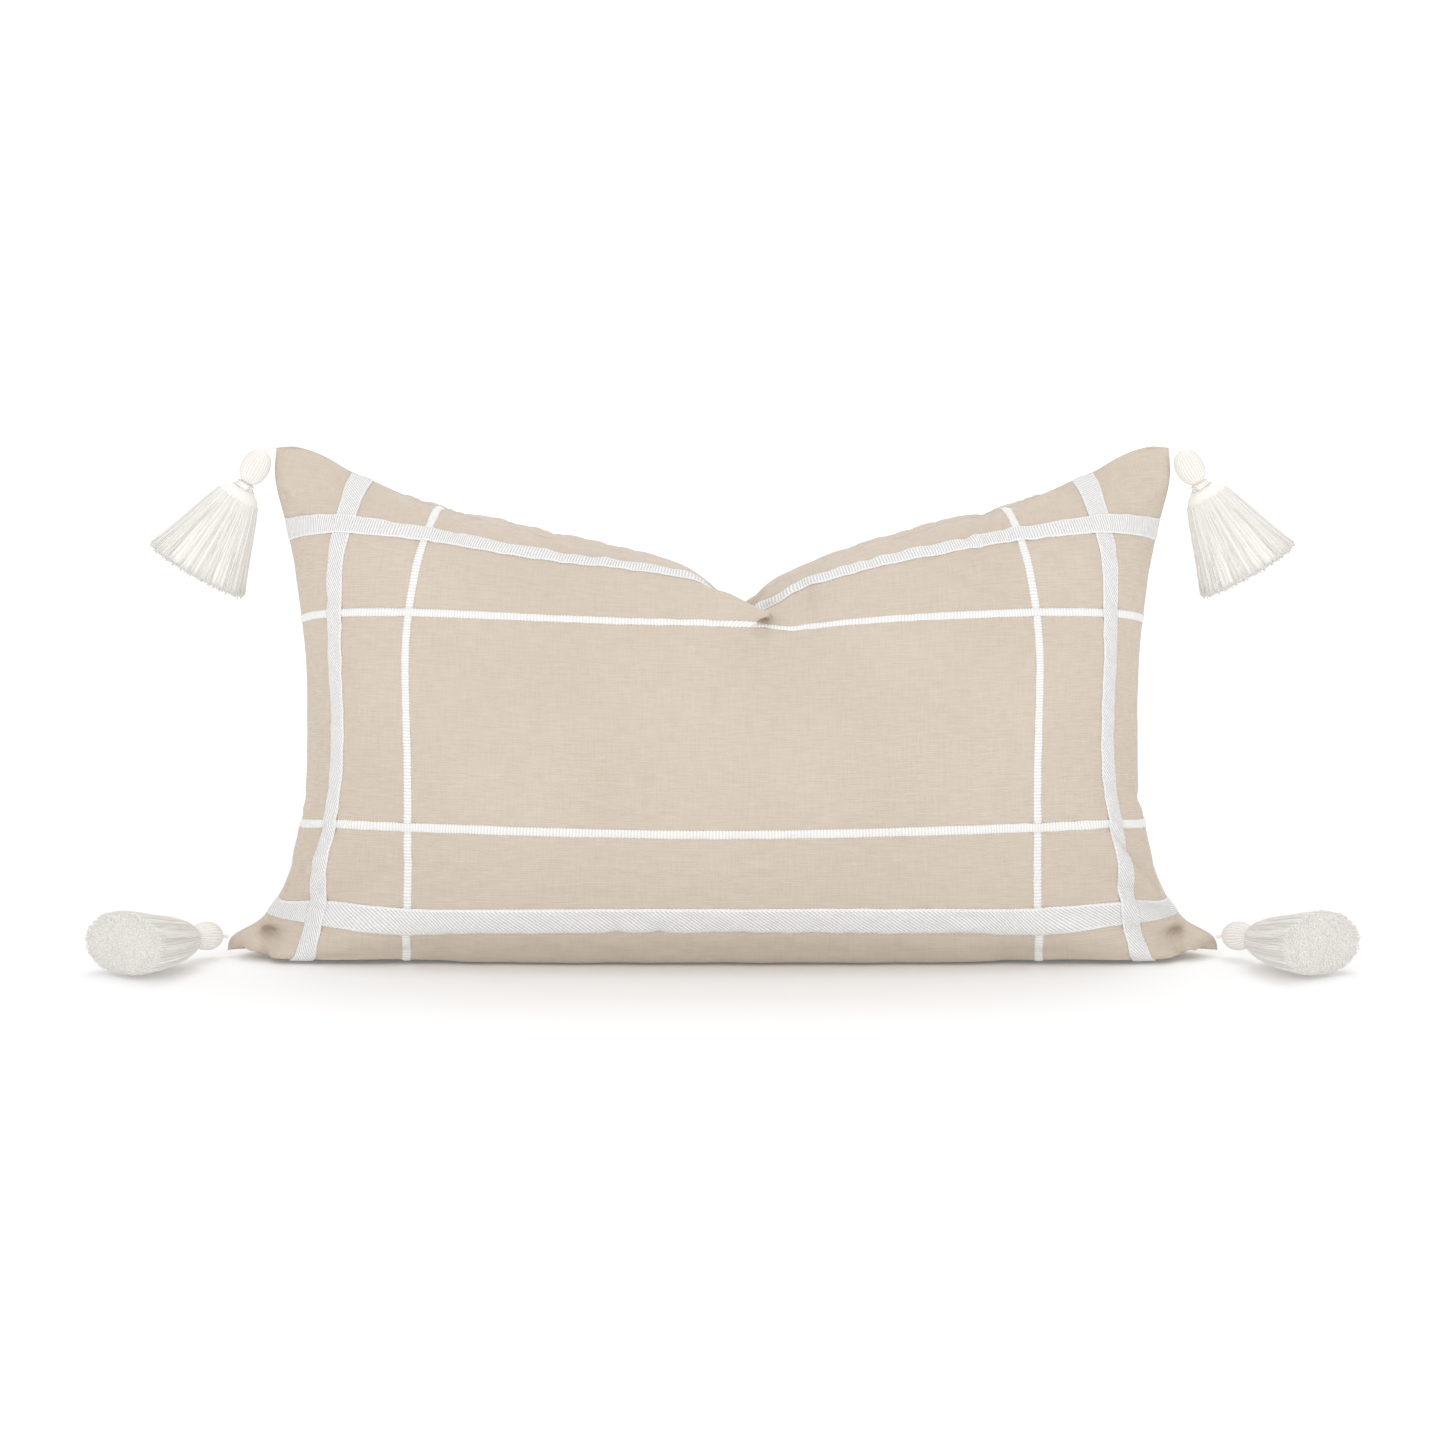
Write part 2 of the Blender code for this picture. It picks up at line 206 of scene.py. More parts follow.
def yarnLook(start):
    where, along, shadeOf = acrossCloth(start)
    twist = (along / fabrics["plyPitch"]).wave()
    fuzz = start.noise(start.node("TexCoord", {}, {}, 3), 900.0, 2.0)
    shade = shadeOf * 0.8 + 0.08 * twist + (fuzz - 0.5) * 0.30 + 0.20
    colour = shade.mix(tone(216, 213, 207), tone(243, 241, 237))
    return {"Base Color": colour, "Roughness": 0.78 + (fuzz - 0.5) * 0.2,
            "Bump": (twist * 0.5 + fuzz, 0.0001, 0.4)}


def tickingLook(start):
    where, along, up = acrossCloth(start)
    pitch = fabrics["tickingPitch"]
    yarns = (along / pitch).wave() * (up / pitch).wave()
    cloudy = start.noise(stretched(start, where, 40, 40), 1.0, 3.0)
    colour = (0.5 + yarns * 0.2 + (cloudy - 0.5) * 0.5).mix(tone(226, 224, 218), tone(246, 245, 241))
    return {"Base Color": colour, "Roughness": 0.9 + (cloudy - 0.5) * 0.1,
            "Bump": (yarns + cloudy, 0.0001, 0.4)}


def fibreLook(start):
    place = start.node("TexCoord", {}, {}, 3)
    tufts = start.noise(place, 90.0, 8.0)
    hairs = start.noise(place, 900.0, 4.0)
    colour = (tufts * 0.6 + hairs * 0.5).mix(tone(222, 222, 220), tone(252, 252, 251))
    return {"Base Color": colour, "Roughness": 0.85 + (hairs - 0.5) * 0.1,
            "Bump": (tufts + hairs * 0.3, 0.0015, 0.8)}


def zipTapeLook(start):
    place = start.node("TexCoord", {}, {}, 3)
    inputs = {"Vector": place, "Scale": 320.0, "Distortion": 0.6}
    ribs = start.node("TexWave", {"bands_direction": "X"}, inputs)
    fuzz = start.noise(place, 1400.0, 3.0)
    colour = (ribs * 0.5 + fuzz * 0.5).mix(tone(205, 192, 172), tone(232, 221, 204))
    return {"Base Color": colour, "Roughness": 0.72 + (fuzz - 0.5) * 0.15,
            "Bump": (ribs + fuzz * 0.5, 0.0002, 0.6)}


def coilLook(start):
    place = start.node("TexCoord", {}, {}, 3)
    scuffs = start.noise(place, 700.0, 3.0)
    colour = scuffs.mix(tone(214, 203, 184), tone(236, 228, 212))
    return {"Base Color": colour, "Roughness": 0.30 + scuffs * 0.25}


def metalLook(start):
    place = start.node("TexCoord", {}, {}, 3)
    brushed = start.noise(start.node("Mapping", {}, {"Vector": place, "Scale": (300, 3000, 3000)}), 1.0, 3.0)
    worn = start.noise(place, 420.0, 4.0).between(0.46, 0.72)
    colour = (brushed * 0.6 + worn * 0.3).mix(tone(168, 166, 162), tone(214, 212, 208))
    rough = 0.24 + brushed * 0.16 + worn * 0.14
    return {"Base Color": colour, "Roughness": rough, "Bump": (brushed, 0.00003, 0.3)}


soft = {"Sheen Weight": 0.25, "Sheen Roughness": 0.5, "Specular IOR Level": 0.25}
canvas = makeMaterial("stoneCanvas", soft, canvasLook)
tapeRibbed = makeMaterial("ribbedTape", soft, tapeLook(False))
tapeTwill = makeMaterial("twillTape", soft, tapeLook(True))
satin = makeMaterial("satinThread", {"Sheen Weight": 0.15, "Specular IOR Level": 0.45}, satinLook)
# the yarn glows a little: painted light that stands in for the fill light and the light bouncing between the
# white strands
yarnSoftGlow = {"Sheen Weight": 0.25, "Sheen Roughness": 0.5, "Specular IOR Level": 0.1,
            "Emission Color": (1.0, 0.98, 0.94, 1.0), "Emission Strength": 0.10}
yarn = makeMaterial("creamYarn", yarnSoftGlow, yarnLook)
ticking = makeMaterial("whiteTicking", soft, tickingLook)
fibre = makeMaterial("polyFibre", soft, fibreLook)
zipWoven = makeMaterial("zipWoven", soft, zipTapeLook)
zipNylon = makeMaterial("zipNylon", {"Specular IOR Level": 0.5}, coilLook)
zipMetal = makeMaterial("nickelledZinc", {"Metallic": 1.0}, metalLook)

# the room: a pale floor, a soft sky and three soft lights
studio = {
    "distance": 2.60,
    "frameWidth": 0.7225,
    "elevation": math.radians(9.0),
    "aim": Vector((0.0, 0.0, 0.1189)),
    "sensor": 36.0,
    "sky": 0.84,
    "floorSize": 60,
    "floorDrop": 0.0002,
    "glowReach": (0.32, 1.2),  # the floor is lit a little more further out
    "glow": (0.07, 0.26),
    "lights": [
        ("keyLight", (-1.2, -2.6, 1.6), 1.8, 17.0),
        ("fillLight", (1.7, -2.4, 0.8), 2.2, 11.0),
        ("topLight", (0.2, 1.0, 2.4), 1.6, 12.0),
    ],
}
away = Vector((0, -math.cos(studio["elevation"]), math.sin(studio["elevation"])))
bpy.ops.object.camera_add(location=studio["aim"] + away * studio["distance"],
                          rotation=(math.pi / 2 - studio["elevation"], 0, 0))
camera = bpy.context.object
camera.name = "camera"
camera.data.sensor_width = studio["sensor"]
camera.data.lens = studio["sensor"] * studio["distance"] / studio["frameWidth"]
camera.data.clip_end = 200
bpy.context.scene.camera = camera
bpy.context.scene.view_settings.view_transform = "Standard"
sky = bpy.data.worlds.new("softSky")
sky.use_nodes = True
sky.node_tree.nodes["Background"].inputs[0].default_value = (1, 1, 1, 1)
sky.node_tree.nodes["Background"].inputs[1].default_value = studio["sky"]
bpy.context.scene.world = sky
for name, place, size, power in studio["lights"]:
    turn = (studio["aim"] - Vector(place)).to_track_quat("-Z", "Y").to_euler()
    bpy.ops.object.light_add(type="AREA", location=place, rotation=turn)
    light = bpy.context.object
    light.name = name
    light.data.shape = "DISK"
    light.data.size = size
    light.data.energy = power
bpy.ops.mesh.primitive_plane_add(size=studio["floorSize"], location=(0, 0, -studio["floorDrop"]))
floor = bpy.context.object
floor.name = "floor"


def floorLook(start):
    place = start.node("TexCoord", {}, {}, 3)
    colour = start.noise(place, 3.0).mix(tone(248, 248, 248), tone(250, 250, 250))
    outward = start.node("VectorMath", {"operation": "LENGTH"}, {0: place}, 1)
    near, far = ((glow, glow, glow, 1) for glow in studio["glow"])
    glow = outward.between(*studio["glowReach"]).mix(near, far)
    return {"Base Color": colour, "Emission Color": glow}


matte = {"Roughness": 0.7, "Specular IOR Level": 0.1, "Emission Strength": 1.0}
floor.data.materials.append(makeMaterial("paleFloor", matte, floorLook))
print("studio set")

# the cover: cloth sizes first, then the shape it takes when it is stuffed and chopped
cover = {
    "clothWide": 0.508,
    "clothHigh": 0.305,
    "cellsWide": 100,
    "cellsHigh": 60,
    "depthShare": 0.955,      # the simulation swells it the rest of the way
    "chopAt": 0.010,          # the chop lies a little right of the middle
    "steps": 20,
    "pressure": 5.0,
    "mass": 0.0004,
    "stiff": 4.0,
    "bend": 0.02,
    "mostMove": 0.010,
    "chopHold": 0.050,        # the cloth moves less near the chop and near the floor
    "chopLow": 0.14,
    "floorHold": 0.035,
    "tautReach": 0.055,
    "earDepth": 0.0080,
    "seamSlack": 0.030,
    "fineWide": 250,
    "fineHigh": 150,
    "thickness": 0.0009,
    "zipHalf": 0.190,
    "zipGap": 0.0042,
}
cadLow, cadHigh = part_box("cover_front")
halfDepth = -cadLow.y * cover["depthShare"]
halfBottom = cadHigh.x

# height in the cloth, then half width as a share of the bottom's
sideSeam = [(0.000, 1.000), (0.008, 0.996), (0.016, 0.978), (0.028, 0.946), (0.045, 0.914), (0.070, 0.871),
            (0.105, 0.833), (0.150, 0.824), (0.200, 0.831), (0.255, 0.868), (0.290, 0.892), (0.305, 0.888)]
# height in the cloth, share of the depth, then height above the floor at the side, between and in the middle
sections = [
    (0.000, 0.00, 0.0030, 0.0085, 0.0085), (0.012, 0.18, 0.0106, 0.0025, 0.0020),
    (0.022, 0.34, 0.0145, 0.0008, 0.0006), (0.032, 0.47, 0.0180, 0.0080, 0.0090),
    (0.049, 0.64, 0.0265, 0.0275, 0.0295), (0.094, 0.92, 0.0700, 0.0755, 0.0745),
    (0.150, 1.00, 0.1260, 0.1310, 0.1290), (0.211, 0.87, 0.1725, 0.1810, 0.1785),
    (0.256, 0.54, 0.2165, 0.2165, 0.2040),
    (0.285, 0.26, 0.2405, 0.2215, 0.2020), (0.305, 0.00, 0.2560, 0.2215, 0.2000),
]
# how cloth near the sides turns back: place across the cloth, place across the pillow
turnBack = [(0.0, 0.0), (0.3, 0.362), (0.63, 0.757), (0.807, 0.934), (0.93, 0.990), (1.0, 1.0)]
# height in the cloth, how far that turning back is reached
roundness = [(0.0, 0.0), (0.012, 0.42), (0.030, 0.64), (0.049, 0.76), (0.070, 0.91), (0.094, 0.98),
             (0.150, 1.0), (0.211, 1.0), (0.235, 0.88), (0.256, 0.61), (0.285, 0.15), (0.305, 0.0)]


def curveThrough(points, column, at):
    spots = np.array([p[0] for p in points], float)
    values = np.array([p[column] for p in points], float)
    slopes = np.gradient(values, spots)
    at = np.clip(at, spots[0], spots[-1])
    k = np.clip(np.searchsorted(spots, at, side="right") - 1, 0, len(spots) - 2)
    wide = spots[k + 1] - spots[k]
    t = (at - spots[k]) / wide
    rise = 3 * t**2 - 2 * t**3
    bend = wide * t * (1 - t) * ((1 - t) * slopes[k] - t * slopes[k + 1])
    return values[k] * (1 - rise) + values[k + 1] * rise + bend


# height in the cloth, how far the cloth lies in from that at the narrow line and at the wide tape
drawnIn = [(0.0, 0.0, 0.0), (0.012, 0.010, 0.0), (0.030, 0.0095, 0.0), (0.049, 0.0080, -0.0012),
           (0.070, 0.0065, -0.0032), (0.094, 0.0035, -0.0018), (0.130, 0.001, 0.0), (0.180, 0.001, 0.001),
           (0.211, 0.004, 0.003),
           (0.235, 0.0075, 0.0037), (0.256, 0.007, 0.004), (0.285, 0.002, 0.001), (0.305, 0.0, 0.0)]
# place across the pillow, how far the top seam stands over its plain curve
cornerLift = [(0.0, 0.0), (0.21, 0.0004), (0.30, 0.0012), (0.39, 0.0014), (0.48, 0.0012), (0.61, -0.0008),
              (0.70, -0.0007), (0.75, 0.0), (0.79, 0.0010), (0.84, 0.0018), (0.88, 0.0040), (0.92, 0.0050),
              (0.966, 0.0039), (1.0, 0.0008)]
# the chop of the hand: x, then the drop at the crest in front, at the crest behind and at the seam
chop = [
    (-0.130, 0.0, 0.0, 0.0), (-0.110, 0.0, 0.0, 0.0003), (-0.080, 0.0004, 0.0010, 0.0016),
    (-0.051, 0.0008, 0.0040, 0.0026), (-0.036, 0.0018, 0.0070, 0.0030), (-0.026, 0.0036, 0.0110, 0.0034),
    (-0.016, 0.0074, 0.0170, 0.0050),
    (-0.011, 0.0106, 0.0220, 0.0082), (-0.006, 0.0155, 0.0280, 0.0165), (-0.001, 0.0212, 0.0340, 0.0262),
    (0.004, 0.0255, 0.0380, 0.0315), (0.009, 0.0275, 0.0395, 0.0310), (0.015, 0.0260, 0.0330, 0.0212),
    (0.020, 0.0245, 0.0285, 0.0158), (0.029, 0.0195, 0.0230, 0.0113), (0.039, 0.0127, 0.0180, 0.0077),
    (0.054, 0.0076, 0.0115, 0.0038), (0.069, 0.0044, 0.0068, 0.0020), (0.090, 0.0018, 0.0030, 0.0010),
    (0.120, 0.0, 0.0, 0.0)]
# where the drop begins in the front cloth: x, height in the cloth
chopStart = [(-0.110, 0.232), (-0.010, 0.232), (-0.001, 0.232), (0.006, 0.225), (0.014, 0.215),
             (0.120, 0.213)]


plump = {
    "lineAt": 0.63,           # the narrow line and the wide tape, across the pillow
    "lineSpread": 0.11,
    "tapeAt": 0.807,
    "tapeSpread": 0.09,
    "squareness": 0.42,
    "betweenTwo": 0.3025,     # the second and fourth powers of the place between side and middle
    "betweenFour": 0.0915,
    "liftFrom": 0.262,
    "backChop": 0.190,
    "crestFull": 0.252,
    "crestEnd": 0.256,
    "crestPower": 1.3,
}
# where the corners rest on the floor: height in the cloth, then places across the pillow
resting = {"at": 0.017, "spread": 0.012, "from": 0.55, "blend": 0.2, "tip": 0.11,
           "press": 0.92, "low": 0.0006}


def bell(distance, width, power=2.0):
    return np.exp(-np.abs(distance / width) ** power)


def ramp(distance, length):
    return np.clip(distance / length, 0, 1)


def stuffedShape(u, v, side):
    across = 2 * u / cover["clothWide"] - 1
    fromMiddle = np.abs(across)
    sign = np.sign(across)
    full = curveThrough(roundness, 1, v)
    blunt = sign * curveThrough(turnBack, 1, fromMiddle)
    x = halfBottom * curveThrough(sideSeam, 1, v) * (across * (1 - full) + blunt * full)
    atLine = curveThrough(drawnIn, 1, v) * bell(fromMiddle - plump["lineAt"], plump["lineSpread"])
    atTape = curveThrough(drawnIn, 2, v) * bell(fromMiddle - plump["tapeAt"], plump["tapeSpread"])
    x -= sign * (atLine + atTape)
    arch = np.clip(np.cos(math.pi * across / 2), 0, 1) ** plump["squareness"]
    depth = halfDepth * curveThrough(sections, 1, v) * arch
    atSide, between, middle = (curveThrough(sections, k, v) for k in (2, 3, 4))
    s2 = across**2
    two, four = plump["betweenTwo"], plump["betweenFour"]
    bow = (between - middle - (atSide - middle) * two) / (two - four)
    z = middle + (atSide - middle) * s2 + bow * (s2 - s2**2)
    rest = bell(v - resting["at"], resting["spread"]) * ramp(fromMiddle - resting["from"], resting["blend"])
    rest = rest * ramp(1 - fromMiddle, resting["tip"])
    z -= resting["press"] * rest * (z - resting["low"])
    depth += cover["earDepth"] * rest
    z += curveThrough(cornerLift, 1, fromMiddle) * ramp(v - plump["liftFrom"], 0.043)
    crestDrop = curveThrough(chop, 1 if side < 0 else 2, x)
    seamDrop = curveThrough(chop, 3, x)
    start = curveThrough(chopStart, 1, x) if side < 0 else plump["backChop"]
    toCrest = ramp(v - start, plump["crestFull"] - start) ** plump["crestPower"]
    toSeam = ramp(v - plump["crestEnd"], cover["clothHigh"] - plump["crestEnd"])
    z -= (crestDrop * (1 - toSeam) + seamDrop * toSeam) * toCrest
    return x, depth, z


def pillowGrid(columns, rows, side):
    u, v = np.meshgrid(np.linspace(0, cover["clothWide"], columns + 1),
                       np.linspace(0, cover["clothHigh"], rows + 1))
    x, depth, z = stuffedShape(u, v, side)
    return np.stack([x, side * depth, z], -1)


def closedPillow(front, back):
    rows, columns = front.shape[:2]
    rim = np.zeros((rows, columns), bool)
    rim[[0, -1]] = True
    rim[:, [0, -1]] = True
    frontIndex = np.arange(rows * columns).reshape(rows, columns)
    backIndex = frontIndex.copy()
    backIndex[~rim] = rows * columns + np.arange((~rim).sum())
    points = np.concatenate([front.reshape(-1, 3), back[~rim]])
    f, b = frontIndex, backIndex
    faces = np.concatenate([
        np.stack([f[:-1, :-1], f[:-1, 1:], f[1:, 1:], f[1:, :-1]], -1).reshape(-1, 4),
        np.stack([b[:-1, :-1], b[1:, :-1], b[1:, 1:], b[:-1, 1:]], -1).reshape(-1, 4)])
    return points, faces, frontIndex, backIndex, rim


def newMesh(name, points, faces, material=None):
    mesh = bpy.data.meshes.new(name)
    mesh.from_pydata(points.tolist(), [], faces if isinstance(faces, list) else faces.tolist())
    mesh.polygons.foreach_set("use_smooth", [len(face) == 4 for face in faces])
    piece = bpy.data.objects.new(name, mesh)
    bpy.context.scene.collection.objects.link(piece)
    if material:
        mesh.materials.append(material)
    return piece


def giveUV(piece, each):
    layer = piece.data.uv_layers.new(name="cloth")
    corners = np.empty(len(piece.data.loops), np.int64)
    piece.data.loops.foreach_get("vertex_index", corners)
    layer.data.foreach_set("uv", np.asarray(each, np.float32)[corners].ravel())


def applyModifiers(piece):
    bpy.ops.object.select_all(action="DESELECT")
    bpy.context.view_layer.objects.active = piece
    piece.select_set(True)
    for modifier in list(piece.modifiers):
        bpy.ops.object.modifier_apply(modifier=modifier.name)
    piece.select_set(False)


def stuffed(front, back):
    points, faces, frontIndex, backIndex, rim = closedPillow(front, back)
    cloth = newMesh("pillowCloth", points, faces)
    pinned = cloth.vertex_groups.new(name="seams")
    pinned.add(frontIndex[rim].tolist(), 1.0, "REPLACE")
    taut = cloth.vertex_groups.new(name="taut")
    rows, columns = frontIndex.shape
    cell = cover["clothWide"] / cover["cellsWide"]
    for j in range(rows):
        for i in range(columns):
            share = min(1.0, min(j, rows - 1 - j) * cell / cover["tautReach"])
            taut.add([int(frontIndex[j, i]), int(backIndex[j, i])], share, "REPLACE")
    bpy.ops.mesh.primitive_plane_add(size=2, location=(0, 0, 0))
    ground = bpy.context.object
    ground.modifiers.new("ground", "COLLISION")
    ground.collision.thickness_outer = 0.001
    ground.collision.cloth_friction = 15
    fabric = cloth.modifiers.new("cloth", "CLOTH")
    feel = fabric.settings
    feel.quality = 6
    feel.mass = cover["mass"]
    feel.tension_stiffness = feel.compression_stiffness = cover["stiff"]
    feel.shear_stiffness = 1.0
    feel.bending_stiffness = cover["bend"]
    feel.tension_damping = feel.compression_damping = feel.shear_damping = 1.0
    feel.bending_damping = 0.5
    feel.air_damping = 4.0
    feel.use_pressure = True
    feel.uniform_pressure_force = cover["pressure"]
    feel.vertex_group_mass = "seams"
    feel.vertex_group_shrink = "taut"
    feel.shrink_min = -cover["seamSlack"]
    feel.shrink_max = 0.0
    feel.effector_weights.gravity = 0
    fabric.collision_settings.distance_min = 0.001
    fabric.collision_settings.use_self_collision = False
    for step in range(1, cover["steps"] + 1):
        bpy.context.scene.frame_set(step)
    applyModifiers(cloth)
    moved = np.empty(len(cloth.data.vertices) * 3, np.float32)
    cloth.data.vertices.foreach_get("co", moved)
    bpy.context.scene.frame_set(1)
    bpy.data.objects.remove(cloth)
    bpy.data.objects.remove(ground)
    shift = moved.reshape(-1, 3).astype(float) - points
    length = np.linalg.norm(shift, axis=1)
    held = bell(points[:, 0] - cover["chopAt"], cover["chopHold"])
    held = held * ramp(points[:, 2] - cover["chopLow"], 0.03)
    most = cover["mostMove"] * (1 - 0.75 * held) * np.clip(0.12 + points[:, 2] / cover["floorHold"], 0, 1)
    points = points + shift * np.minimum(1, most / np.maximum(length, 1e-9))[:, None]
    return points[frontIndex], points[backIndex]


frontGrid = pillowGrid(cover["cellsWide"], cover["cellsHigh"], -1)
backGrid = pillowGrid(cover["cellsWide"], cover["cellsHigh"], 1)
frontGrid, backGrid = stuffed(frontGrid, backGrid)
print("cover stuffed")


def onGrid(grid, u, v):
    rows, columns = grid.shape[:2]
    ringed = np.pad(grid, ((1, 1), (1, 1), (0, 0)), mode="reflect", reflect_type="odd")
    gu = np.clip(u / cover["clothWide"], 0, 1) * (columns - 1)
    gv = np.clip(v / cover["clothHigh"], 0, 1) * (rows - 1)
    i = np.minimum(gu.astype(int), columns - 2)
    j = np.minimum(gv.astype(int), rows - 2)

    def shares(t):
        return (-0.5 * t + t**2 - 0.5 * t**3, 1 - 2.5 * t**2 + 1.5 * t**3,
                0.5 * t + 2 * t**2 - 1.5 * t**3, -0.5 * t**2 + 0.5 * t**3)

    su, sv = shares(gu - i), shares(gv - j)
    return sum((sv[b] * su[a])[..., None] * ringed[j + b, i + a] for a in range(4) for b in range(4))


# the lip of cloth under the chop, the crease beside it, and the folds at the bottom corners
folds = {
    "tongue": {"at": (0.0125, 0.1834), "push": 0.0140, "forward": 0.0070, "sink": 0.0050, "high": 0.0060,
               "drop": 0.0034, "slant": 0.30, "lip": 0.004, "wide": 0.011, "mouth": 0.008,
               "mouthWide": 0.009},
    "crease": {"at": (0.0405, 0.189), "deep": 0.0055, "width": 0.0055, "high": 0.013, "dip": 0.0008,
               "dipAside": 0.006, "dipHigh": 0.1785, "dipWide": 0.012},
    "ear": {"at": (0.2270, 0.0140), "deep": 0.0115, "bulge": 0.0042, "gather": 0.0026, "wide": 0.0058,
            "high": 0.0030, "gatherAside": 0.0015},
    "pucker": {"at": 0.018, "spread": 0.013, "high": 0.0005},
    "edge": 0.012,
    "leastDepth": 0.00008,
    "leastHeight": 0.0004,
}


def clothPoint(u, v, side):
    points = onGrid(frontGrid if side < 0 else backGrid, u, v)
    x, y, z = points[..., 0].copy(), points[..., 1].copy(), points[..., 2].copy()
    edge = folds["edge"]
    inside = ramp(v, edge) * ramp(cover["clothHigh"] - v, edge)
    if side < 0:
        tongue = folds["tongue"]
        right = x - tongue["at"][0]
        high = bell(z - tongue["at"][1] + tongue["slant"] * right, tongue["high"]) * inside
        left = bell(right + tongue["lip"], tongue["wide"]) * ramp(-(right - tongue["lip"]), 0.006)
        sunk = bell(right - tongue["mouth"], tongue["mouthWide"])
        x += tongue["push"] * left * high
        y += tongue["sink"] * sunk * high * ramp(-y, 0.020) - tongue["forward"] * left * high
        z -= tongue["drop"] * left * high * ramp(v - 0.215, 0.015)
        crease = folds["crease"]
        pressed = bell(x - crease["at"][0], crease["width"]) * bell(z - crease["at"][1], crease["high"])
        y += crease["deep"] * pressed * ramp(-y, 0.020)
        beside = bell(x - crease["at"][0] + crease["dipAside"], crease["dipWide"])
        z -= crease["dip"] * beside * bell(z - crease["dipHigh"], crease["dipWide"])
    ear = folds["ear"]
    for sign in (-1, 1):
        out = sign * x - ear["at"][0]
        pocket = bell(out, ear["wide"]) * bell(z - ear["at"][1], ear["high"])
        gather = bell(out - ear["gatherAside"], 0.0026) * ramp(ear["at"][1] - z, 0.006)
        swollen = bell(out - 0.0100, 0.0080) * bell(z - 0.0080, 0.0065)
        swollen = swollen + 0.5 * bell(out + 0.007, 0.005) * bell(z - 0.006, 0.005)
        hollow = ear["deep"] * pocket + ear["gather"] * gather - ear["bulge"] * swollen
        y -= side * hollow * ramp(np.abs(y), 0.006)
    gathers = folds["pucker"]
    waves = np.sin(x * 131 + side) + 0.6 * np.sin(x * 223 + 2 * side)
    y += side * gathers["high"] * (bell(v - gathers["at"], gathers["spread"]) * waves) * inside
    opening = ramp(cover["zipHalf"] + edge - np.abs(u - cover["clothWide"] / 2), edge)
    y += side * cover["zipGap"] * opening * np.clip(1 - v / 0.030, 0, 1)
    y = side * np.maximum(side * y, folds["leastDepth"])
    z = np.maximum(z, folds["leastHeight"])
    return np.stack([x, y, z], -1)


def clothNormal(u, v, side):
    step = 0.0006
    alongU = clothPoint(u + step, v, side) - clothPoint(u - step, v, side)
    alongV = clothPoint(u, v + step, side) - clothPoint(u, v - step, side)
    normal = np.cross(alongU, alongV) * (1 if side < 0 else -1)
    return normal / np.maximum(np.linalg.norm(normal, axis=-1, keepdims=True), 1e-12)


def gridFaces(rows, columns, turned=False):
    f = np.arange(rows * columns).reshape(rows, columns)
    ring = [f[:-1, :-1], f[:-1, 1:], f[1:, 1:], f[1:, :-1]]
    return np.stack(ring[::-1] if turned else ring, -1).reshape(-1, 4)


def edgeWalls(rows, columns):
    rim = np.concatenate([np.arange(columns), np.arange(1, rows) * columns + columns - 1,
                          (rows - 1) * columns + np.arange(columns - 2, -1, -1),
                          np.arange(rows - 2, 0, -1) * columns])
    count, ahead = rows * columns, np.roll(rim, -1)
    return np.stack([rim, rim + count, ahead + count, ahead], -1)


def coverPanel(name, side, nodes):
    u, v = np.meshgrid(np.linspace(0, cover["clothWide"], cover["fineWide"] + 1),
                       np.linspace(0, cover["clothHigh"], cover["fineHigh"] + 1))
    panel = newMesh(name, clothPoint(u, v, side).reshape(-1, 3), gridFaces(*u.shape, side > 0), canvas)
    giveUV(panel, np.stack([u, v], -1).reshape(-1, 2))
    wall = panel.modifiers.new("wall", "SOLIDIFY")
    wall.thickness = cover["thickness"]
    applyModifiers(panel)
    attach(panel, "pillow")
    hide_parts(*nodes)
    return panel


coverFront = coverPanel("coverFront", -1, ["cover_front"])
coverBack = coverPanel("coverBack", 1, ["cover_back"])
print("cover panels made")

# tapes and thread lines, all on the front panel
trims = {
    "wideInset": 0.049,
    "wideWidth": 0.012,
    "wideThick": 0.0008,
    "narrowInset": 0.094,
    "narrowWidth": 0.0044,
    "narrowThick": 0.0006,
    "step": 0.0010,
    "stitchStep": 0.0004,
    "hop": 0.005,
    "endGap": 0.0012,
    "under": 0.00005,
    "loopRise": 0.035,
    "stitchRise": 0.16,
}


def over(distance, halfWidth):
    return np.clip((halfWidth + trims["hop"] - np.abs(distance)) / trims["hop"], 0, 1) ** 2


